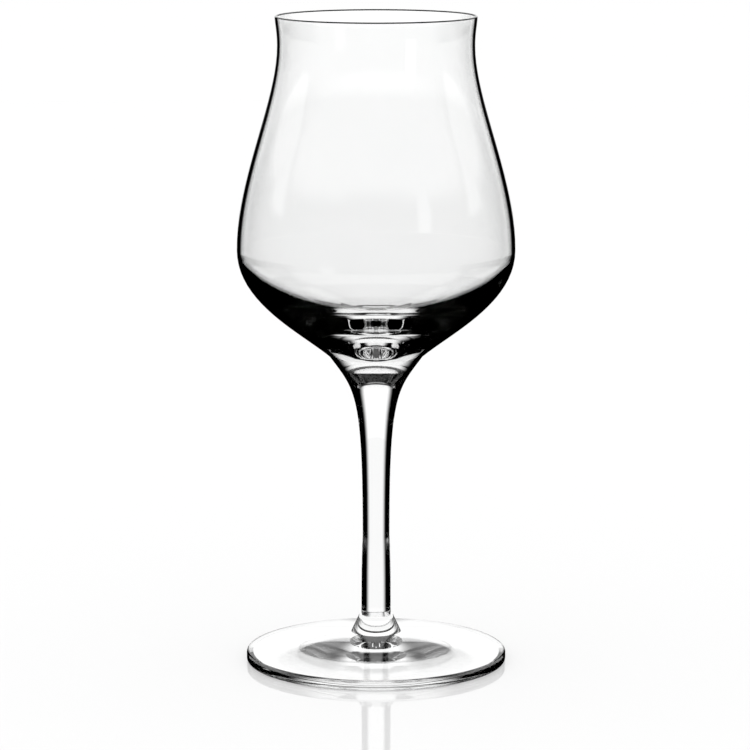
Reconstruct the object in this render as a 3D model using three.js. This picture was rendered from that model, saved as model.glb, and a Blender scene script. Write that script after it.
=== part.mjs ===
// Stemmed tasting glass: a blown tulip bowl, a trumpet-topped stem and a pressed foot, fused at two joints.
// Millimetres, +Z up. The origin is the middle of the ring that the glass stands on.
import * as THREE from "three";

// Foot: a disc with a conical top and a raised boss that takes the stem.
const FOOT_DIAMETER = 80.6;
const FOOT_EDGE_HEIGHT = 3.3;
const FOOT_EDGE_ROUND = 0.9;
const FOOT_TOP_RISE = 5.6;
const BOSS_BASE_DIAMETER = 15.4;
const BOSS_HEIGHT = 5.4;
const BOSS_LEDGE = 0.6;
const STANDING_RING_WIDTH = 1.6;
const UNDERSIDE_HOLLOW = 3.2;

// Stem: nearly straight below its neck, opening into a trumpet under the bowl.
const STEM_LENGTH = 81.5;
const STEM_BASE_DIAMETER = 9.1;
const NECK_DIAMETER = 8.3;
const NECK_ABOVE_FOOT = 25.5;
const BOWL_JOINT_DIAMETER = 28.8;
const TRUMPET_ANGLE = THREE.MathUtils.degToRad(54);

// Bowl: a cone below, a full belly, a drawn-in waist and a lip that turns out a little.
const BOWL_HEIGHT = 104.2;
const CONE_ANGLE = THREE.MathUtils.degToRad(40);
const BELLY_DIAMETER = 85.2;
const BELLY_ABOVE_JOINT = 32.8;
const WAIST_DIAMETER = 60.2;
const WAIST_BELOW_RIM = 9;
const RIM_DIAMETER = 61.6;
const RIM_WALL = 0.8;
const BELLY_WALL = 1.2;

// Inside of the bowl: it turns at a hip into a plain cone, and at a well the cone rounds into a thin floor.
const HIP_DIAMETER = 50.8;
const HIP_ABOVE_JOINT = 14.1;
const HIP_ANGLE = THREE.MathUtils.degToRad(36.5);
const WELL_DIAMETER = 14.4;
const WELL_ABOVE_JOINT = 4.7;
const WELL_ANGLE = THREE.MathUtils.degToRad(28.2);
const FLOOR_THICKNESS = 3.1;

// How far each curve keeps the direction of its end, as a share of the stretch that it spans.
const STEM_BASE_HOLD = 0.9;
const NECK_HOLD_DOWN = 0.1;
const NECK_HOLD_UP = 0.8;
const TRUMPET_HOLD = 0.76;
const CONE_HOLD = 0.345;
const BELLY_HOLD_DOWN = 0.47;
const BELLY_HOLD_UP = 0.36;
const WAIST_HOLD_DOWN = 0.27;
const WAIST_HOLD_UP = 0.45;
const LIP_HOLD = 0.35;
const INNER_BELLY_HOLD = 0.41;
const HIP_HOLD = 0.15;
const WELL_HOLD_UP = 0.54;
const WELL_HOLD_DOWN = 0.15;
const FLOOR_HOLD = 0.37;

// Steps in which the outlines are turned and their curves are divided.
const TURN_STEPS = 60;
const LONG_CURVE_STEPS = 9;
const SHORT_CURVE_STEPS = 4;
const INNER_CURVE_STEPS = 5;

const FOOT_HEIGHT = FOOT_EDGE_HEIGHT + FOOT_TOP_RISE + BOSS_HEIGHT;
const GLASS_COLOUR = 0xf3f7f6;

// A point of an outline, by its distance from the axis and its height.
function at(radius, height) {
  return new THREE.Vector2(radius, height);
}

// A smooth stretch that leaves its first point towards the second and comes to the last from the third.
function bend(start, startPull, endPull, end, steps) {
  return new THREE.CubicBezierCurve(start, startPull, endPull, end).getPoints(steps);
}

// A round stretch about a centre, between two angles.
function round(centre, radius, fromAngle, toAngle) {
  const backwards = toAngle < fromAngle;
  const arc = new THREE.EllipseCurve(centre.x, centre.y, radius, radius, fromAngle, toAngle, backwards);
  return arc.getPoints(SHORT_CURVE_STEPS);
}

function footOutline() {
  const edge = FOOT_DIAMETER / 2;
  const edgeRound = Math.min(FOOT_EDGE_ROUND, FOOT_EDGE_HEIGHT / 2);
  const roundCentre = edge - edgeRound;
  const ringInside = roundCentre - STANDING_RING_WIDTH;
  const bossBase = BOSS_BASE_DIAMETER / 2;
  const bossTop = STEM_BASE_DIAMETER / 2 + BOSS_LEDGE;
  const topSlope = Math.atan2(FOOT_TOP_RISE, edge - bossBase);
  const hollowMiddle = at(0, UNDERSIDE_HOLLOW);
  const hollowHold = at(ringInside / 2, UNDERSIDE_HOLLOW);
  const hollow = new THREE.QuadraticBezierCurve(hollowMiddle, hollowHold, at(ringInside, 0));
  return [
    ...hollow.getPoints(SHORT_CURVE_STEPS),
    ...round(at(roundCentre, edgeRound), edgeRound, -Math.PI / 2, 0),
    ...round(at(roundCentre, FOOT_EDGE_HEIGHT - edgeRound), edgeRound, 0, Math.PI / 2 - topSlope),
    at(bossBase, FOOT_EDGE_HEIGHT + FOOT_TOP_RISE),
    at(bossTop, FOOT_HEIGHT),
    at(0, FOOT_HEIGHT),
  ];
}

function stemOutline() {
  const base = STEM_BASE_DIAMETER / 2;
  const neck = NECK_DIAMETER / 2;
  const top = BOWL_JOINT_DIAMETER / 2;
  const trumpetHeight = STEM_LENGTH - NECK_ABOVE_FOOT;
  const baseHold = at(base, STEM_BASE_HOLD * NECK_ABOVE_FOOT);
  const neckHoldDown = at(neck, (1 - NECK_HOLD_DOWN) * NECK_ABOVE_FOOT);
  const neckHoldUp = at(neck, NECK_ABOVE_FOOT + NECK_HOLD_UP * trumpetHeight);
  const reach = TRUMPET_HOLD * (top - neck);
  const trumpetHold = at(top - reach, STEM_LENGTH - reach * Math.tan(TRUMPET_ANGLE));
  const neckRing = at(neck, NECK_ABOVE_FOOT);
  return [
    at(0, 0),
    ...bend(at(base, 0), baseHold, neckHoldDown, neckRing, SHORT_CURVE_STEPS),
    ...bend(neckRing, neckHoldUp, trumpetHold, at(top, STEM_LENGTH), LONG_CURVE_STEPS),
    at(0, STEM_LENGTH),
  ];
}

// The point at a distance from a ring, up the slope of the face there.
function along({ place, slope }, distance) {
  return at(place.x + distance * Math.cos(slope), place.y + distance * Math.sin(slope));
}

// One face of the bowl's side from the belly up to the lip, set in from the outer face by the wall there.
function sideFace(bellyWall, rimWall) {
  const belly = BELLY_DIAMETER / 2 - bellyWall;
  const waist = WAIST_DIAMETER / 2 - rimWall;
  const lip = RIM_DIAMETER / 2 - rimWall;
  const waistHeight = BOWL_HEIGHT - WAIST_BELOW_RIM;
  const lipHeight = BOWL_HEIGHT - RIM_WALL / 2;
  const shoulder = waistHeight - BELLY_ABOVE_JOINT;
  const neckIn = lipHeight - waistHeight;
  const bellyRing = at(belly, BELLY_ABOVE_JOINT);
  const waistRing = at(waist, waistHeight);
  const bellyHold = at(belly, BELLY_ABOVE_JOINT + BELLY_HOLD_UP * shoulder);
  const waistHoldDown = at(waist, waistHeight - WAIST_HOLD_DOWN * shoulder);
  const waistHoldUp = at(waist, waistHeight + WAIST_HOLD_UP * neckIn);
  const lipHold = at(lip - LIP_HOLD * (lip - waist), lipHeight - LIP_HOLD * neckIn);
  return [
    ...bend(bellyRing, bellyHold, waistHoldDown, waistRing, LONG_CURVE_STEPS),
    ...bend(waistRing, waistHoldUp, lipHold, at(lip, lipHeight), SHORT_CURVE_STEPS),
  ];
}

// The bowl's inner face from the belly down to the middle of the floor, by the rings that set its slope.
function innerFace() {
  const rings = [
    { place: at(BELLY_DIAMETER / 2 - BELLY_WALL, BELLY_ABOVE_JOINT), slope: Math.PI / 2 },
    { place: at(HIP_DIAMETER / 2, HIP_ABOVE_JOINT), slope: HIP_ANGLE },
    { place: at(WELL_DIAMETER / 2, WELL_ABOVE_JOINT), slope: WELL_ANGLE },
    { place: at(0, FLOOR_THICKNESS), slope: 0 },
  ];
  const holds = [
    { down: INNER_BELLY_HOLD, up: HIP_HOLD },
    { down: HIP_HOLD, up: WELL_HOLD_UP },
    { down: WELL_HOLD_DOWN, up: FLOOR_HOLD },
  ];
  return holds.flatMap(({ down, up }, i) => {
    const upper = rings[i];
    const lower = rings[i + 1];
    const stretch = upper.place.distanceTo(lower.place);
    const upperHold = along(upper, -down * stretch);
    const lowerHold = along(lower, up * stretch);
    return bend(upper.place, upperHold, lowerHold, lower.place, INNER_CURVE_STEPS);
  });
}

function bowlOutline() {
  const joint = BOWL_JOINT_DIAMETER / 2;
  const belly = BELLY_DIAMETER / 2;
  const reach = CONE_HOLD * (belly - joint);
  const coneHold = at(joint + reach, reach * Math.tan(CONE_ANGLE));
  const bellyHold = at(belly, (1 - BELLY_HOLD_DOWN) * BELLY_ABOVE_JOINT);
  const rimMiddle = at(RIM_DIAMETER / 2 - RIM_WALL / 2, BOWL_HEIGHT - RIM_WALL / 2);
  return [
    at(0, 0),
    ...bend(at(joint, 0), coneHold, bellyHold, at(belly, BELLY_ABOVE_JOINT), LONG_CURVE_STEPS),
    ...sideFace(0, 0),
    ...round(rimMiddle, RIM_WALL / 2, 0, Math.PI),
    ...sideFace(BELLY_WALL, RIM_WALL).reverse(),
    ...innerFace(),
  ];
}

function clearGlass() {
  return new THREE.MeshStandardMaterial({
    color: GLASS_COLOUR,
    roughness: 0.04,
    metalness: 0,
    transparent: true,
    opacity: 0.35,
  });
}

// A piece turned about the axis from an outline, standing at a height.
function turned(name, outline, height) {
  const points = outline.filter((point, i) => i === 0 || point.distanceTo(outline[i - 1]) > 1e-6);
  const geometry = new THREE.LatheGeometry(points, TURN_STEPS);
  geometry.rotateX(Math.PI / 2);
  const piece = new THREE.Mesh(geometry, clearGlass());
  piece.name = name;
  piece.position.z = height;
  return piece;
}

const glass = new THREE.Group();
glass.add(turned("foot", footOutline(), 0));
glass.add(turned("stem", stemOutline(), FOOT_HEIGHT));
glass.add(turned("bowl", bowlOutline(), FOOT_HEIGHT + STEM_LENGTH));

export default glass;
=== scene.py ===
"""A stemmed tasting glass in polished clear glass, in a white studio.

The file is laid out as an add-on and run as a script. Lengths are in metres and +Z is up.
"""

import math
from collections import namedtuple

import bpy
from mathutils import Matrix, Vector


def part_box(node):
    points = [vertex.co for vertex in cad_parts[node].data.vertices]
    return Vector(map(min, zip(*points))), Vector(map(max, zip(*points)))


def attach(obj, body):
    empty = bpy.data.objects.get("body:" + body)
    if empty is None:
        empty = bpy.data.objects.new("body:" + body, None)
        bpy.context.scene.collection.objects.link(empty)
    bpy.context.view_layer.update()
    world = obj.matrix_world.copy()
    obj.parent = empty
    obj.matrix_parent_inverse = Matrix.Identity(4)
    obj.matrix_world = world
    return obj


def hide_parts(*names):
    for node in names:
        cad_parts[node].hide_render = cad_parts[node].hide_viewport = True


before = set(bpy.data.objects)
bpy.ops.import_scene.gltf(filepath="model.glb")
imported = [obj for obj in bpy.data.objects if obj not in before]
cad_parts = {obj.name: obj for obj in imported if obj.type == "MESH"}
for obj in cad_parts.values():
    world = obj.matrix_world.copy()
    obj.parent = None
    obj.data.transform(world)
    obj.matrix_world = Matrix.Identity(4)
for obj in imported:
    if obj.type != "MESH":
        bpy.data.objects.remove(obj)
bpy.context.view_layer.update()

bl_info = {
    "name": "Stemmed tasting glass",
    "version": (1, 0, 0),
    "blender": (4, 5, 0),
    "location": "View3D > Sidebar > Tasting glass",
    "description": "Builds the bowl, stem and foot of a clear tasting glass, and a white studio round it",
    "category": "Object",
}

BODY = "root"

# The frame gives the places where the pieces meet and how far they reach.
FOOT_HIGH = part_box("foot")[1]
STEM_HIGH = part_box("stem")[1]
BOWL_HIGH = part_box("bowl")[1]
FOOT_RADIUS = FOOT_HIGH.x
FOOT_JOINT_HEIGHT = FOOT_HIGH.z
BOWL_JOINT_RADIUS = STEM_HIGH.x
BOWL_JOINT_HEIGHT = STEM_HIGH.z
BELLY_RADIUS = BOWL_HIGH.x
RIM_HEIGHT = BOWL_HIGH.z


def length(name, description, default):
    """A length that a user may change, in metres."""
    return bpy.props.FloatProperty(
        name=name,
        description=description,
        default=default,
        min=0.0,
        precision=5,
        subtype="DISTANCE",
        unit="LENGTH",
    )


def angle(name, description, degrees):
    """An angle that a user may change."""
    return bpy.props.FloatProperty(
        name=name, description=description, default=math.radians(degrees), subtype="ANGLE", unit="ROTATION"
    )


def colour(name, description, default):
    """A colour that a user may change."""
    return bpy.props.FloatVectorProperty(
        name=name,
        description=description,
        default=(*default, 1.0),
        size=4,
        min=0.0,
        max=1.0,
        subtype="COLOR",
    )


def share(name, description, default):
    """A share between none and all that a user may change."""
    return bpy.props.FloatProperty(
        name=name, description=description, default=default, min=0.0, max=1.0, precision=4, subtype="FACTOR"
    )


class FootSizes(bpy.types.PropertyGroup):
    """Sizes of the pressed foot."""

    edge_height: length("Edge height", "Height of the foot's edge", 0.0033)
    edge_round: length("Edge round", "Radius of the foot's rounded edge", 0.0009)
    top_rise: length("Top rise", "Climb of the conical top from the edge to the boss", 0.0056)
    boss_base: length("Boss base", "Radius of the boss where it leaves the foot", 0.0077)
    boss_ledge: length("Boss ledge", "Width of the boss's top left bare round the stem", 0.0006)
    ring_width: length("Ring width", "Width of the flat ring that the glass stands on", 0.0016)
    hollow: length("Hollow", "Depth of the hollow under the foot", 0.0032)


class StemSizes(bpy.types.PropertyGroup):
    """Sizes of the drawn stem."""

    base: length("Base", "Radius where the stem stands on the foot", 0.00455)
    neck: length("Neck", "Radius of the narrowest place", 0.00415)
    neck_height: length("Neck height", "Height of the neck above the foot", 0.0255)
    trumpet: angle("Trumpet", "Steepness of the trumpet where it meets the bowl", 54)


class BowlSizes(bpy.types.PropertyGroup):
    """Sizes of the blown bowl."""

    cone: angle("Cone", "Steepness of the bowl where it leaves the stem", 40)
    belly_height: length("Belly height", "Height of the widest place above the stem", 0.0328)
    waist: length("Waist", "Radius of the narrowest place under the rim", 0.0301)
    waist_drop: length("Waist drop", "Drop from the rim to the waist", 0.009)
    rim: length("Rim", "Outer radius of the rim", 0.0308)
    rim_wall: length("Rim wall", "Thickness of the wall at the rim", 0.0008)
    belly_wall: length("Belly wall", "Thickness of the wall at the belly", 0.0012)
    floor: length("Floor", "Thickness of the glass under the middle of the inside", 0.0031)
    hip: length("Hip", "Radius of the ring where the inner side turns into the inner cone", 0.0254)
    hip_height: length("Hip height", "Height of that ring above the stem", 0.0141)
    hip_slope: angle("Hip slope", "Steepness of the inner face at that ring", 36.5)
    well: length("Well", "Radius of the ring where the inner cone rounds into the middle", 0.0072)
    well_height: length("Well height", "Height of that ring above the stem", 0.0047)
    well_slope: angle("Well slope", "Steepness of the inner face at that ring", 28.2)


class GlassLook(bpy.types.PropertyGroup):
    """The look of the glass."""

    clear: colour("Clear", "Colour of the clearest glass", (1.0, 1.0, 1.0))
    tinted: colour("Tinted", "Colour of the glass where it has a trace of tint", (0.985, 0.99, 0.988))
    # Painted shade: the colour painted on the bowl's outer face where it is seen edge-on, and how glancing
    # a look starts and fills it.
    edge: colour("Edge", "Colour that a wall takes on where it is seen edge-on", (0.0, 0.0, 0.0))
    edge_shade_start: share("Edge start", "How glancing a look at the wall is where that colour starts", 0.66)
    edge_shade_end: share("Edge end", "How glancing it is where that colour is full", 0.76)
    # Painted shade: the top of the lip's bead is painted in that colour too.
    lip: length("Lip", "Height of the lip's bead that takes on the edge's colour too", 0.0004)
    haze: share("Haze", "Roughness of the dullest spots", 0.006)
    waviness: length("Waviness", "Height of the waves that forming left", 0.000002)
    refraction: bpy.props.FloatProperty(
        name="Refraction", description="Index of refraction", default=1.53, min=1.0, max=2.0
    )


# Points closer than this, in metres, are taken for one.
SAME_PLACE = 1e-6


class Outline:
    """The outline of a turned piece, drawn from point to point as (radius, height)."""

    def __init__(self, start):
        self.points = [start]
        self.pulls_in = [None]
        self.pulls_out = [None]

    def line(self, end):
        self.bend(None, None, end)

    def bend(self, pull_out, pull_in, end):
        self.pulls_out[-1] = pull_out
        self.points.append(end)
        self.pulls_in.append(pull_in)
        self.pulls_out.append(None)

    def arc(self, centre, radius, start, end):
        """A round stretch about a centre between two angles, after a line to where it starts."""
        pull = radius * 4 / 3 * math.tan((end - start) / 4)
        first = (centre[0] + radius * math.cos(start), centre[1] + radius * math.sin(start))
        last = (centre[0] + radius * math.cos(end), centre[1] + radius * math.sin(end))
        if math.dist(first, self.points[-1]) > SAME_PLACE:
            self.line(first)
        pull_out = (first[0] - pull * math.sin(start), first[1] + pull * math.cos(start))
        pull_in = (last[0] + pull * math.sin(end), last[1] - pull * math.cos(end))
        self.bend(pull_out, pull_in, last)

    def curve(self, name, steps):
        """The outline as a curve object in the XY plane."""
        data = bpy.data.curves.new(name, "CURVE")
        data.dimensions = "3D"
        data.resolution_u = steps
        spline = data.splines.new("BEZIER")
        spline.bezier_points.add(len(self.points) - 1)
        drawn = zip(spline.bezier_points, self.points, self.pulls_in, self.pulls_out)
        for knot, point, pull_in, pull_out in drawn:
            knot.handle_left_type = "FREE" if pull_in else "VECTOR"
            knot.handle_right_type = "FREE" if pull_out else "VECTOR"
            knot.co = (*point, 0)
            knot.handle_left = (*(pull_in or point), 0)
            knot.handle_right = (*(pull_out or point), 0)
        piece = bpy.data.objects.new(name, data)
        bpy.context.scene.collection.objects.link(piece)
        return piece


# How far each curve keeps the direction of its end, as a share of the stretch that it spans.
HOLLOW_HOLD = 2 / 3
STEM_BASE_HOLD = 0.9
NECK_HOLD_DOWN = 0.1
NECK_HOLD_UP = 0.8
TRUMPET_HOLD = 0.76
CONE_HOLD = 0.345
BELLY_HOLD_DOWN = 0.47
BELLY_HOLD_UP = 0.36
WAIST_HOLD_DOWN = 0.27
WAIST_HOLD_UP = 0.45
LIP_HOLD = 0.35
INNER_BELLY_HOLD = 0.41
HIP_HOLD = 0.15
WELL_HOLD_UP = 0.54
WELL_HOLD_DOWN = 0.15
FLOOR_HOLD = 0.37


def between(start, end, part):
    """The value that lies a part of the way from a start to an end."""
    return start + part * (end - start)


def along(ring, distance):
    """The point at a distance from a ring of an outline, the way that the outline slopes there."""
    radius, height, slope = ring
    return (radius + distance * math.cos(slope), height + distance * math.sin(slope))


def foot_outline(foot, stem):
    """From the middle of the hollow round the edge and up the boss to the middle of the joint."""
    round_centre = FOOT_RADIUS - foot.edge_round
    ring_inside = round_centre - foot.ring_width
    boss_top = stem.base + foot.boss_ledge
    slope = math.atan2(foot.top_rise, FOOT_RADIUS - foot.boss_base)
    pull = HOLLOW_HOLD
    outline = Outline((0, foot.hollow))
    outline.bend(
        (pull * ring_inside / 2, foot.hollow),
        (between(ring_inside, ring_inside / 2, pull), pull * foot.hollow),
        (ring_inside, 0),
    )
    outline.arc((round_centre, foot.edge_round), foot.edge_round, -math.pi / 2, 0)
    outline.arc((round_centre, foot.edge_height - foot.edge_round), foot.edge_round, 0, math.pi / 2 - slope)
    outline.line((foot.boss_base, foot.edge_height + foot.top_rise))
    outline.line((boss_top, FOOT_JOINT_HEIGHT))
    outline.line((stem.base, FOOT_JOINT_HEIGHT))
    outline.line((0, FOOT_JOINT_HEIGHT))
    return outline


def stem_outline(stem):
    """From the middle of the foot's joint up the neck and the trumpet to the middle of the bowl's joint."""
    neck_height = FOOT_JOINT_HEIGHT + stem.neck_height
    reach = TRUMPET_HOLD * (BOWL_JOINT_RADIUS - stem.neck)
    outline = Outline((0, FOOT_JOINT_HEIGHT))
    outline.line((stem.base, FOOT_JOINT_HEIGHT))
    outline.bend(
        (stem.base, between(FOOT_JOINT_HEIGHT, neck_height, STEM_BASE_HOLD)),
        (stem.neck, between(neck_height, FOOT_JOINT_HEIGHT, NECK_HOLD_DOWN)),
        (stem.neck, neck_height),
    )
    outline.bend(
        (stem.neck, between(neck_height, BOWL_JOINT_HEIGHT, NECK_HOLD_UP)),
        (BOWL_JOINT_RADIUS - reach, BOWL_JOINT_HEIGHT - reach * math.tan(stem.trumpet)),
        (BOWL_JOINT_RADIUS, BOWL_JOINT_HEIGHT),
    )
    outline.line((0, BOWL_JOINT_HEIGHT))
    return outline


def bowl_outline(bowl):
    """From the middle of the joint up the outer face, over the lip and down the inner face to the floor."""
    belly_height = BOWL_JOINT_HEIGHT + bowl.belly_height
    floor_height = BOWL_JOINT_HEIGHT + bowl.floor
    waist_height = RIM_HEIGHT - bowl.waist_drop
    lip_height = RIM_HEIGHT - bowl.rim_wall / 2
    reach = CONE_HOLD * (BELLY_RADIUS - BOWL_JOINT_RADIUS)
    inner_belly = BELLY_RADIUS - bowl.belly_wall
    inner_waist = bowl.waist - bowl.rim_wall
    inner_lip = bowl.rim - bowl.rim_wall
    belly_up = between(belly_height, waist_height, BELLY_HOLD_UP)
    waist_down = between(waist_height, belly_height, WAIST_HOLD_DOWN)
    waist_up = between(waist_height, lip_height, WAIST_HOLD_UP)
    lip_down = between(lip_height, waist_height, LIP_HOLD)
    outline = Outline((0, BOWL_JOINT_HEIGHT))
    outline.line((BOWL_JOINT_RADIUS, BOWL_JOINT_HEIGHT))
    outline.bend(
        (BOWL_JOINT_RADIUS + reach, BOWL_JOINT_HEIGHT + reach * math.tan(bowl.cone)),
        (BELLY_RADIUS, between(belly_height, BOWL_JOINT_HEIGHT, BELLY_HOLD_DOWN)),
        (BELLY_RADIUS, belly_height),
    )
    outline.bend((BELLY_RADIUS, belly_up), (bowl.waist, waist_down), (bowl.waist, waist_height))
    outline.bend(
        (bowl.waist, waist_up),
        (between(bowl.rim, bowl.waist, LIP_HOLD), lip_down),
        (bowl.rim, lip_height),
    )
    lip_middle = (bowl.rim - bowl.rim_wall / 2, lip_height)
    outline.arc(lip_middle, bowl.rim_wall / 2, 0, math.pi / 2)
    outline.arc(lip_middle, bowl.rim_wall / 2, math.pi / 2, math.pi)
    outline.bend(
        (between(inner_lip, inner_waist, LIP_HOLD), lip_down),
        (inner_waist, waist_up),
        (inner_waist, waist_height),
    )
    outline.bend((inner_waist, waist_down), (inner_belly, belly_up), (inner_belly, belly_height))
    rings = (
        (inner_belly, belly_height, math.pi / 2),
        (bowl.hip, BOWL_JOINT_HEIGHT + bowl.hip_height, bowl.hip_slope),
        (bowl.well, BOWL_JOINT_HEIGHT + bowl.well_height, bowl.well_slope),
        (0, floor_height, 0),
    )
    holds = ((INNER_BELLY_HOLD, HIP_HOLD), (HIP_HOLD, WELL_HOLD_UP), (WELL_HOLD_DOWN, FLOOR_HOLD))
    for upper, lower, (hold_down, hold_up) in zip(rings, rings[1:], holds):
        stretch = math.dist(upper[:2], lower[:2])
        outline.bend(along(upper, -hold_down * stretch), along(lower, hold_up * stretch), lower[:2])
    return outline


def add_node(tree, kind, **values):
    """A new node with its settings, and with inputs set by name."""
    node = tree.nodes.new(kind)
    for key, value in values.items():
        if key in node.inputs:
            node.inputs[key].default_value = value
        else:
            setattr(node, key, value)
    return node


# Radius of the ring that an outline is led round. The outlines keep their own distance from the axis.
RAIL_RADIUS = 0.1


def turning_tree():
    """Turns an outline about the axis into a closed piece, with the faces that are fused to the next."""
    tree = bpy.data.node_groups.new("Turned glass", "GeometryNodeTree")
    face = tree.interface
    for name, kind in (
        ("Outline", "NodeSocketGeometry"),
        ("Turn Steps", "NodeSocketInt"),
        ("Crease Angle", "NodeSocketFloat"),
        ("Lower Joint Height", "NodeSocketFloat"),
        ("Lower Joint Radius", "NodeSocketFloat"),
        ("Upper Joint Height", "NodeSocketFloat"),
        ("Upper Joint Radius", "NodeSocketFloat"),
        ("Glass", "NodeSocketMaterial"),
        ("Fused Joint", "NodeSocketMaterial"),
    ):
        face.new_socket(name, in_out="INPUT", socket_type=kind)
    face.new_socket("Piece", in_out="OUTPUT", socket_type="NodeSocketGeometry")
    link = tree.links.new
    given = tree.nodes.new("NodeGroupInput")
    rail = add_node(tree, "GeometryNodeCurvePrimitiveCircle", Radius=RAIL_RADIUS)
    link(given.outputs["Turn Steps"], rail.inputs["Resolution"])
    stand = add_node(tree, "GeometryNodeTransform", Translation=(-RAIL_RADIUS, 0, 0), Scale=(1, -1, 1))
    link(given.outputs["Outline"], stand.inputs["Geometry"])
    sweep = add_node(tree, "GeometryNodeCurveToMesh")
    link(rail.outputs["Curve"], sweep.inputs["Curve"])
    link(stand.outputs["Geometry"], sweep.inputs["Profile Curve"])
    outward = add_node(tree, "GeometryNodeFlipFaces")
    link(sweep.outputs["Mesh"], outward.inputs["Mesh"])
    close = add_node(tree, "GeometryNodeMergeByDistance", Distance=SAME_PLACE)
    link(outward.outputs["Mesh"], close.inputs["Geometry"])
    smooth = add_node(tree, "GeometryNodeSetShadeSmooth", domain="FACE")
    link(close.outputs["Geometry"], smooth.inputs["Geometry"])
    bend = add_node(tree, "GeometryNodeInputMeshEdgeAngle")
    crease = add_node(tree, "FunctionNodeCompare", data_type="FLOAT", operation="GREATER_THAN")
    link(bend.outputs["Unsigned Angle"], crease.inputs["A"])
    link(given.outputs["Crease Angle"], crease.inputs["B"])
    sharp = tree.nodes.new("GeometryNodeSetShadeSmooth")
    sharp.domain = "EDGE"
    sharp.inputs["Shade Smooth"].default_value = False
    link(smooth.outputs["Geometry"], sharp.inputs["Geometry"])
    link(crease.outputs["Result"], sharp.inputs["Selection"])
    whole = tree.nodes.new("GeometryNodeRealizeInstances")
    link(sharp.outputs["Geometry"], whole.inputs["Geometry"])
    finish = tree.nodes.new("GeometryNodeSetMaterial")
    link(whole.outputs["Geometry"], finish.inputs["Geometry"])
    link(given.outputs["Glass"], finish.inputs["Material"])
    last = finish
    for end in ("Lower", "Upper"):
        fused = tree.nodes.new("GeometryNodeSetMaterial")
        link(last.outputs["Geometry"], fused.inputs["Geometry"])
        link(given.outputs["Fused Joint"], fused.inputs["Material"])
        link(joint_faces(tree, given, end), fused.inputs["Selection"])
        last = fused
    made = tree.nodes.new("NodeGroupOutput")
    link(last.outputs["Geometry"], made.inputs["Piece"])
    return tree


def joint_faces(tree, given, end):
    """The level faces at one joint's height that lie within its radius."""
    link = tree.links.new
    where = tree.nodes.new("GeometryNodeInputPosition")
    split = tree.nodes.new("ShaderNodeSeparateXYZ")
    link(where.outputs["Position"], split.inputs["Vector"])
    level = add_node(tree, "FunctionNodeCompare", data_type="FLOAT", operation="EQUAL")
    level.inputs["Epsilon"].default_value = SAME_PLACE
    link(split.outputs["Z"], level.inputs["A"])
    link(given.outputs[end + " Joint Height"], level.inputs["B"])
    flat = tree.nodes.new("ShaderNodeCombineXYZ")
    link(split.outputs["X"], flat.inputs["X"])
    link(split.outputs["Y"], flat.inputs["Y"])
    reach = add_node(tree, "ShaderNodeVectorMath", operation="LENGTH")
    link(flat.outputs["Vector"], reach.inputs[0])
    inside = add_node(tree, "FunctionNodeCompare", data_type="FLOAT", operation="LESS_THAN")
    link(reach.outputs["Value"], inside.inputs["A"])
    link(given.outputs[end + " Joint Radius"], inside.inputs["B"])
    both = add_node(tree, "FunctionNodeBooleanMath", operation="AND")
    link(level.outputs["Result"], both.inputs[0])
    link(inside.outputs["Result"], both.inputs[1])
    return both.outputs["Boolean"]


# Height and radius of a joint that a piece doesn't have.
NO_JOINT = (-1.0, 0.0)
TURN_STEPS = 240
CURVE_STEPS = 20
CREASE_ANGLE = math.radians(20)


def turned_piece(node, outline, lower_joint, upper_joint, glass):
    """A piece turned from its outline, in the place of its CAD node."""
    tree = bpy.data.node_groups.get("Turned glass") or turning_tree()
    name = node + "_glass"
    host = outline.curve(name + "_outline", CURVE_STEPS)
    modifier = host.modifiers.new("Turn", "NODES")
    modifier.node_group = tree
    values = {
        "Turn Steps": TURN_STEPS,
        "Crease Angle": CREASE_ANGLE,
        "Lower Joint Height": lower_joint[0],
        "Lower Joint Radius": lower_joint[1],
        "Upper Joint Height": upper_joint[0],
        "Upper Joint Radius": upper_joint[1],
        "Glass": glass,
        "Fused Joint": fused_joint(),
    }
    for item in tree.interface.items_tree:
        if item.in_out == "INPUT" and item.name in values:
            modifier[item.identifier] = values[item.name]
    evaluated = host.evaluated_get(bpy.context.evaluated_depsgraph_get())
    mesh = bpy.data.meshes.new_from_object(evaluated)
    mesh.name = name
    outline_data = host.data
    bpy.data.objects.remove(host)
    bpy.data.curves.remove(outline_data)
    piece = bpy.data.objects.new(name, mesh)
    bpy.context.scene.collection.objects.link(piece)
    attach(piece, BODY)
    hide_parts(node)
    return piece


def fused_joint():
    """Light goes straight on where two pieces are fused, as through one melt."""
    material = bpy.data.materials.get("fused joint")
    if material:
        return material
    material = bpy.data.materials.new("fused joint")
    material.use_nodes = True
    tree = material.node_tree
    tree.nodes.clear()
    clear = tree.nodes.new("ShaderNodeBsdfTransparent")
    out = tree.nodes.new("ShaderNodeOutputMaterial")
    tree.links.new(clear.outputs["BSDF"], out.inputs["Surface"])
    return material


# Waves per metre that forming left across, along and up each piece: pressed, drawn and blown.
FOOT_STRETCH = (120.0, 120.0, 120.0)
STEM_STRETCH = (500.0, 500.0, 20.0)
BOWL_STRETCH = (40.0, 40.0, 120.0)

# Clouds of tint and haze per metre, and the part of their range over which the haze sets in.
CLOUDS = 60.0
HAZE_START = 0.55
HAZE_END = 0.75

# Places of the colour sockets on a mix node.
MIX_START = 6
MIX_END = 7
MIX_RESULT = 2


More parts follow.
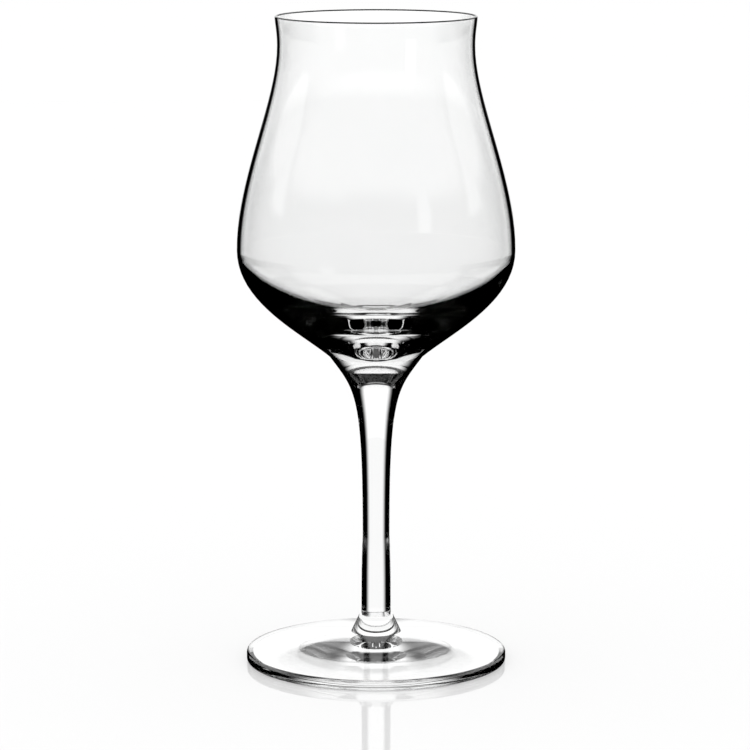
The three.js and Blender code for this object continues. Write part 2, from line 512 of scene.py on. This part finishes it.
def forming_marks():
    """The faint marks that forming leaves in glass: a trace of tint, of haze and of waviness."""
    tree = bpy.data.node_groups.get("Forming marks")
    if tree:
        return tree
    tree = bpy.data.node_groups.new("Forming marks", "ShaderNodeTree")
    for way, name, kind in (
        ("INPUT", "Position", "NodeSocketVector"),
        ("INPUT", "Stretch", "NodeSocketVector"),
        ("INPUT", "Clear", "NodeSocketColor"),
        ("INPUT", "Tinted", "NodeSocketColor"),
        ("INPUT", "Haze", "NodeSocketFloat"),
        ("OUTPUT", "Color", "NodeSocketColor"),
        ("OUTPUT", "Roughness", "NodeSocketFloat"),
        ("OUTPUT", "Height", "NodeSocketFloat"),
    ):
        tree.interface.new_socket(name, in_out=way, socket_type=kind)
    link = tree.links.new
    given = tree.nodes.new("NodeGroupInput")
    made = tree.nodes.new("NodeGroupOutput")
    drawn = add_node(tree, "ShaderNodeVectorMath", operation="MULTIPLY")
    link(given.outputs["Position"], drawn.inputs[0])
    link(given.outputs["Stretch"], drawn.inputs[1])
    waves = add_node(tree, "ShaderNodeTexNoise", Scale=1.0, Detail=1.0)
    link(drawn.outputs["Vector"], waves.inputs["Vector"])
    link(waves.outputs["Fac"], made.inputs["Height"])
    clouds = add_node(tree, "ShaderNodeTexNoise", Scale=CLOUDS, Detail=2.0)
    link(given.outputs["Position"], clouds.inputs["Vector"])
    tint = add_node(tree, "ShaderNodeMix", data_type="RGBA")
    link(clouds.outputs["Fac"], tint.inputs["Factor"])
    link(given.outputs["Clear"], tint.inputs[MIX_START])
    link(given.outputs["Tinted"], tint.inputs[MIX_END])
    link(tint.outputs[MIX_RESULT], made.inputs["Color"])
    haze = add_node(tree, "ShaderNodeMapRange", **{"From Min": HAZE_START, "From Max": HAZE_END})
    link(clouds.outputs["Fac"], haze.inputs["Value"])
    link(given.outputs["Haze"], haze.inputs["To Max"])
    link(haze.outputs["Result"], made.inputs["Roughness"])
    return tree


def clear_glass(name, look, stretch):
    """Polished colourless glass, with marks drawn out the way that the piece was formed."""
    material = bpy.data.materials.new(name)
    material.use_nodes = True
    tree = material.node_tree
    link = tree.links.new
    shader = tree.nodes["Principled BSDF"]
    shader.inputs["IOR"].default_value = look.refraction
    shader.inputs["Transmission Weight"].default_value = 1.0
    marks = tree.nodes.new("ShaderNodeGroup")
    marks.name = "Marks"
    marks.node_tree = forming_marks()
    marks.inputs["Stretch"].default_value = stretch
    marks.inputs["Clear"].default_value = look.clear
    marks.inputs["Tinted"].default_value = look.tinted
    marks.inputs["Haze"].default_value = look.haze
    where = tree.nodes.new("ShaderNodeTexCoord")
    where.name = "Where"
    link(where.outputs["Object"], marks.inputs["Position"])
    link(marks.outputs["Color"], shader.inputs["Base Color"])
    link(marks.outputs["Roughness"], shader.inputs["Roughness"])
    relief = add_node(tree, "ShaderNodeBump", Strength=1.0, Distance=look.waviness)
    link(marks.outputs["Height"], relief.inputs["Height"])
    link(relief.outputs["Normal"], shader.inputs["Normal"])
    return material


def paint_edge_and_lip_shade(material, look):
    """Paints shade into a thin wall's outer face where it is seen edge-on, and into its lip, as the dark
    that light led away in them would leave.
    """
    tree = material.node_tree
    link = tree.links.new
    where = tree.nodes["Where"]
    level = add_node(tree, "ShaderNodeVectorMath", operation="MULTIPLY")
    link(where.outputs["Object"], level.inputs[0])
    level.inputs[1].default_value = (1.0, 1.0, 0.0)
    outward = add_node(tree, "ShaderNodeVectorMath", operation="DOT_PRODUCT")
    link(where.outputs["Normal"], outward.inputs[0])
    link(level.outputs["Vector"], outward.inputs[1])
    outer = add_node(tree, "ShaderNodeMath", operation="GREATER_THAN")
    link(outward.outputs["Value"], outer.inputs[0])
    outer.inputs[1].default_value = 0.0
    # Painted shade: the outer face's colour turns to the edge colour at glancing looks, standing in for the
    # dark that a wall seen edge-on shows.
    glancing = add_node(tree, "ShaderNodeLayerWeight", Blend=0.5)
    fade = add_node(tree, "ShaderNodeMapRange", interpolation_type="SMOOTHSTEP")
    fade.inputs["From Min"].default_value = look.edge_shade_start
    fade.inputs["From Max"].default_value = look.edge_shade_end
    link(glancing.outputs["Facing"], fade.inputs["Value"])
    link(outer.outputs["Value"], fade.inputs["To Max"])
    # Painted shade: the top of the lip's bead is painted in the edge colour as well.
    split = tree.nodes.new("ShaderNodeSeparateXYZ")
    link(where.outputs["Object"], split.inputs["Vector"])
    bead = add_node(tree, "ShaderNodeMath", operation="GREATER_THAN")
    link(split.outputs["Z"], bead.inputs[0])
    bead.inputs[1].default_value = RIM_HEIGHT - look.lip
    dark = add_node(tree, "ShaderNodeMath", operation="MAXIMUM")
    link(fade.outputs["Result"], dark.inputs[0])
    link(bead.outputs["Value"], dark.inputs[1])
    edge = add_node(tree, "ShaderNodeMix", data_type="RGBA")
    link(dark.outputs["Value"], edge.inputs["Factor"])
    link(tree.nodes["Marks"].outputs["Color"], edge.inputs[MIX_START])
    edge.inputs[MIX_END].default_value = look.edge
    link(edge.outputs[MIX_RESULT], tree.nodes["Principled BSDF"].inputs["Base Color"])


class TASTING_GLASS_OT_foot(bpy.types.Operator):
    """Turn the pressed foot"""

    bl_idname = "tasting_glass.foot"
    bl_label = "Foot"

    def execute(self, context):
        scene = context.scene
        outline = foot_outline(scene.foot_sizes, scene.stem_sizes)
        glass = clear_glass("foot glass", scene.glass_look, FOOT_STRETCH)
        turned_piece("foot", outline, NO_JOINT, (FOOT_JOINT_HEIGHT, scene.stem_sizes.base), glass)
        return {"FINISHED"}


class TASTING_GLASS_OT_stem(bpy.types.Operator):
    """Turn the drawn stem"""

    bl_idname = "tasting_glass.stem"
    bl_label = "Stem"

    def execute(self, context):
        stem = context.scene.stem_sizes
        lower = (FOOT_JOINT_HEIGHT, stem.base)
        upper = (BOWL_JOINT_HEIGHT, BOWL_JOINT_RADIUS)
        glass = clear_glass("stem glass", context.scene.glass_look, STEM_STRETCH)
        turned_piece("stem", stem_outline(stem), lower, upper, glass)
        return {"FINISHED"}


class TASTING_GLASS_OT_bowl(bpy.types.Operator):
    """Turn the blown bowl"""

    bl_idname = "tasting_glass.bowl"
    bl_label = "Bowl"

    def execute(self, context):
        joint = (BOWL_JOINT_HEIGHT, BOWL_JOINT_RADIUS)
        glass = clear_glass("bowl glass", context.scene.glass_look, BOWL_STRETCH)
        # Paints shade on the bowl's outer face where it is seen edge-on, and on its lip.
        paint_edge_and_lip_shade(glass, context.scene.glass_look)
        turned_piece("bowl", bowl_outline(context.scene.bowl_sizes), joint, NO_JOINT, glass)
        return {"FINISHED"}


# A panel of the studio: its azimuth from +Y towards +X, its half width and its two ends' heights, with how
# softly they end, in degrees, and its brightness.
LightPanel = namedtuple("LightPanel", "azimuth half_width side_softness low high end_softness strength")
ANGLE_SOCKETS = ("Azimuth", "Half Width", "Side Softness", "Low", "High", "End Softness")

# The panels that light through the glass.
PANELS_BEHIND = (
    LightPanel(0, 26, 8, -56, 36, 2, 1.0),
    LightPanel(0, 26, 8, -6.5, 36, 1.5, 1.12),
    LightPanel(180, 90, 10, -60, -29, 4, 1.0),
    LightPanel(66, 24, 4, -40, -21, 1, 1.0),
    LightPanel(-66, 24, 4, -40, -21, 1, 1.0),
    LightPanel(-137, 6, 3, -34, -6, 3, 1.0),
)
# The panels that show only where light goes straight through, with no reflection on its way.
PANELS_BESIDE = (
    LightPanel(135, 15, 4, -60, -3, 2, 1.0),
    LightPanel(-45, 12, 3, -60, -17, 1, 1.0),
    LightPanel(-90, 12, 4, -66, 5, 2, 1.0),
    LightPanel(0, 182, 1, -92, -62, 3, 1.0),
)
# The panels that the glass and the floor mirror.
PANELS_MIRRORED = (
    LightPanel(0, 16, 3, -1, 42, 1, 1.0),
    LightPanel(0, 11, 3, -6, 0, 1, 1.0),
    LightPanel(70, 40, 3, -9.5, 42, 1, 1.0),
    LightPanel(-70, 40, 3, -9.5, 42, 1, 1.0),
    LightPanel(180, 75, 8, -60, 42, 2, 1.0),
)
# How bright the room is to matt things.
ROOM_LIGHT = 1.0


def panel_group():
    """How bright a panel is in a direction."""
    tree = bpy.data.node_groups.new("Studio panel", "ShaderNodeTree")
    for name in (*ANGLE_SOCKETS, "Strength"):
        tree.interface.new_socket(name, in_out="INPUT", socket_type="NodeSocketFloat")
    tree.interface.new_socket("Direction", in_out="INPUT", socket_type="NodeSocketVector")
    tree.interface.new_socket("Brightness", in_out="OUTPUT", socket_type="NodeSocketFloat")
    link = tree.links.new
    given = tree.nodes.new("NodeGroupInput")
    turn = add_node(tree, "ShaderNodeVectorRotate", rotation_type="Z_AXIS")
    link(given.outputs["Direction"], turn.inputs["Vector"])
    link(given.outputs["Azimuth"], turn.inputs["Angle"])
    split = tree.nodes.new("ShaderNodeSeparateXYZ")
    link(turn.outputs["Vector"], split.inputs["Vector"])

    def math_node(operation, *values):
        """The result of an operation on sockets."""
        node = add_node(tree, "ShaderNodeMath", operation=operation)
        for socket, value in zip(node.inputs, values):
            link(value, socket)
        return node.outputs["Value"]

    def step(value, start, end):
        """Goes softly from 0 at the start to 1 at the end."""
        ease = add_node(tree, "ShaderNodeMapRange", interpolation_type="SMOOTHSTEP")
        for name, source in (("Value", value), ("From Min", start), ("From Max", end)):
            link(source, ease.inputs[name])
        return ease.outputs["Result"]

    aside = math_node("ABSOLUTE", math_node("ARCTAN2", split.outputs["X"], split.outputs["Y"]))
    height = math_node("ARCSINE", split.outputs["Z"])
    side, low, high = (given.outputs[name] for name in ("Half Width", "Low", "High"))
    side_soft, end_soft = given.outputs["Side Softness"], given.outputs["End Softness"]
    within = step(aside, math_node("ADD", side, side_soft), math_node("SUBTRACT", side, side_soft))
    above = step(height, math_node("SUBTRACT", low, end_soft), math_node("ADD", low, end_soft))
    below = step(height, math_node("ADD", high, end_soft), math_node("SUBTRACT", high, end_soft))
    covered = math_node("MULTIPLY", math_node("MULTIPLY", within, above), below)
    lit = math_node("MULTIPLY", covered, given.outputs["Strength"])
    made = tree.nodes.new("NodeGroupOutput")
    link(lit, made.inputs["Brightness"])
    return tree


def brightest_panel(tree, group, direction, panels):
    """The brightness of whichever panel lies in a direction."""
    link = tree.links.new
    brightest = None
    for panel in panels:
        node = tree.nodes.new("ShaderNodeGroup")
        node.node_tree = group
        link(direction, node.inputs["Direction"])
        for name, degrees in zip(ANGLE_SOCKETS, panel):
            node.inputs[name].default_value = math.radians(degrees)
        node.inputs["Strength"].default_value = panel.strength
        lit = node.outputs["Brightness"]
        if brightest:
            both = add_node(tree, "ShaderNodeMath", operation="MAXIMUM")
            link(brightest, both.inputs[0])
            link(lit, both.inputs[1])
            lit = both.outputs["Value"]
        brightest = lit
    return brightest


def studio_world():
    """White to the camera, white panels in the dark to the glass, and an even light to matt things."""
    world = bpy.data.worlds.new("studio")
    world.use_nodes = True
    tree = world.node_tree
    tree.nodes.clear()
    link = tree.links.new
    direction = tree.nodes.new("ShaderNodeTexCoord").outputs["Generated"]
    group = panel_group()
    behind = brightest_panel(tree, group, direction, PANELS_BEHIND)
    mirrored = brightest_panel(tree, group, direction, PANELS_MIRRORED)
    beside = brightest_panel(tree, group, direction, PANELS_BESIDE)
    path = tree.nodes.new("ShaderNodeLightPath")
    straight = add_node(tree, "ShaderNodeMath", operation="LESS_THAN")
    link(path.outputs["Glossy Depth"], straight.inputs[0])
    straight.inputs[1].default_value = 1.0
    unmirrored = add_node(tree, "ShaderNodeMath", operation="MULTIPLY")
    link(beside, unmirrored.inputs[0])
    link(straight.outputs["Value"], unmirrored.inputs[1])
    through = add_node(tree, "ShaderNodeMath", operation="MAXIMUM")
    link(behind, through.inputs[0])
    link(unmirrored.outputs["Value"], through.inputs[1])

    def choose(factor, otherwise, value):
        """One brightness or the other, by the kind of ray."""
        mix = add_node(tree, "ShaderNodeMix", data_type="FLOAT")
        link(factor, mix.inputs["Factor"])
        for name, given in (("A", otherwise), ("B", value)):
            if isinstance(given, float):
                mix.inputs[name].default_value = given
            else:
                link(given, mix.inputs[name])
        return mix.outputs["Result"]

    shown = choose(path.outputs["Is Glossy Ray"], ROOM_LIGHT, mirrored)
    shown = choose(path.outputs["Is Transmission Ray"], shown, through.outputs["Value"])
    shown = choose(path.outputs["Is Camera Ray"], shown, 1.0)
    sky = add_node(tree, "ShaderNodeBackground", Color=(1, 1, 1, 1))
    link(shown, sky.inputs["Strength"])
    out = tree.nodes.new("ShaderNodeOutputWorld")
    link(sky.outputs["Background"], out.inputs["Surface"])
    return world


# The floor lies just under the glass. Its glow and its matt colour in the room's light add up to white.
FLOOR_GAP = 0.0001
FLOOR_REACH = 12.0
FLOOR_GLOW = 0.51
FLOOR_WHITE = 0.5
FLOOR_ROUGHNESS = 0.02
FLOOR_REFRACTION = 1.5


def studio_floor():
    """A white polished floor that takes a soft shadow and mirrors what stands on it."""
    mesh = bpy.data.meshes.new("floor")
    sides = ((-1, -1), (1, -1), (1, 1), (-1, 1))
    corners = [(x * FLOOR_REACH, y * FLOOR_REACH, -FLOOR_GAP) for x, y in sides]
    mesh.from_pydata(corners, [], [(0, 1, 2, 3)])
    floor = bpy.data.objects.new("floor", mesh)
    bpy.context.scene.collection.objects.link(floor)
    floor.visible_transmission = False
    floor.visible_glossy = False
    material = bpy.data.materials.new("white floor")
    material.use_nodes = True
    tree = material.node_tree
    tree.nodes.clear()
    link = tree.links.new
    matt = add_node(tree, "ShaderNodeBsdfDiffuse", Color=(FLOOR_WHITE, FLOOR_WHITE, FLOOR_WHITE, 1))
    glow = add_node(tree, "ShaderNodeEmission", Color=(1, 1, 1, 1), Strength=FLOOR_GLOW)
    white = tree.nodes.new("ShaderNodeAddShader")
    link(matt.outputs["BSDF"], white.inputs[0])
    link(glow.outputs["Emission"], white.inputs[1])
    mirror = add_node(tree, "ShaderNodeBsdfGlossy", Color=(1, 1, 1, 1), Roughness=FLOOR_ROUGHNESS)
    polish = add_node(tree, "ShaderNodeFresnel", IOR=FLOOR_REFRACTION)
    both = tree.nodes.new("ShaderNodeMixShader")
    link(polish.outputs["Fac"], both.inputs[0])
    link(white.outputs["Shader"], both.inputs[1])
    link(mirror.outputs["BSDF"], both.inputs[2])
    out = tree.nodes.new("ShaderNodeOutputMaterial")
    link(both.outputs["Shader"], out.inputs["Surface"])
    mesh.materials.append(material)


# Bounces that light needs to find its way through both walls, the base and the foot.
GLASS_BOUNCES = 24
MIRROR_BOUNCES = 16
JOINT_PASSES = 32

CAMERA_LENS_MM = 167.52
CAMERA_PLACE = (-0.00034, -1.05915, 0.27064)
CAMERA_DOWN = math.radians(9.6953)


class TASTING_GLASS_OT_stage(bpy.types.Operator):
    """Set up the floor, the light and the camera"""

    bl_idname = "tasting_glass.stage"
    bl_label = "Studio"

    def execute(self, context):
        scene = context.scene
        scene.view_settings.view_transform = "Standard"
        scene.cycles.max_bounces = GLASS_BOUNCES
        scene.cycles.transmission_bounces = GLASS_BOUNCES
        scene.cycles.glossy_bounces = MIRROR_BOUNCES
        scene.cycles.transparent_max_bounces = JOINT_PASSES
        scene.world = studio_world()
        studio_floor()
        data = bpy.data.cameras.new("camera")
        data.lens = CAMERA_LENS_MM
        camera = bpy.data.objects.new("camera", data)
        camera.location = CAMERA_PLACE
        camera.rotation_euler = (math.pi / 2 - CAMERA_DOWN, 0, 0)
        scene.collection.objects.link(camera)
        scene.camera = camera
        return {"FINISHED"}


class TASTING_GLASS_PT_panel(bpy.types.Panel):
    """Buttons that build the pieces and the studio"""

    bl_label = "Tasting glass"
    bl_idname = "TASTING_GLASS_PT_panel"
    bl_space_type = "VIEW_3D"
    bl_region_type = "UI"
    bl_category = "Tasting glass"

    def draw(self, context):
        for step in STEPS:
            self.layout.operator(step.bl_idname)


STEPS = (TASTING_GLASS_OT_stage, TASTING_GLASS_OT_foot, TASTING_GLASS_OT_stem, TASTING_GLASS_OT_bowl)
GROUPS = {
    "glass_look": GlassLook,
    "foot_sizes": FootSizes,
    "stem_sizes": StemSizes,
    "bowl_sizes": BowlSizes,
}


def register():
    for cls in (*GROUPS.values(), *STEPS, TASTING_GLASS_PT_panel):
        bpy.utils.register_class(cls)
    for name, group in GROUPS.items():
        setattr(bpy.types.Scene, name, bpy.props.PointerProperty(type=group))


def unregister():
    for name in GROUPS:
        delattr(bpy.types.Scene, name)
    for cls in reversed((*GROUPS.values(), *STEPS, TASTING_GLASS_PT_panel)):
        bpy.utils.unregister_class(cls)


def main():
    """Builds the studio and the glass."""
    register()
    for step in STEPS:
        group, name = step.bl_idname.split(".")
        getattr(getattr(bpy.ops, group), name)()


if __name__ == "__main__":
    main()
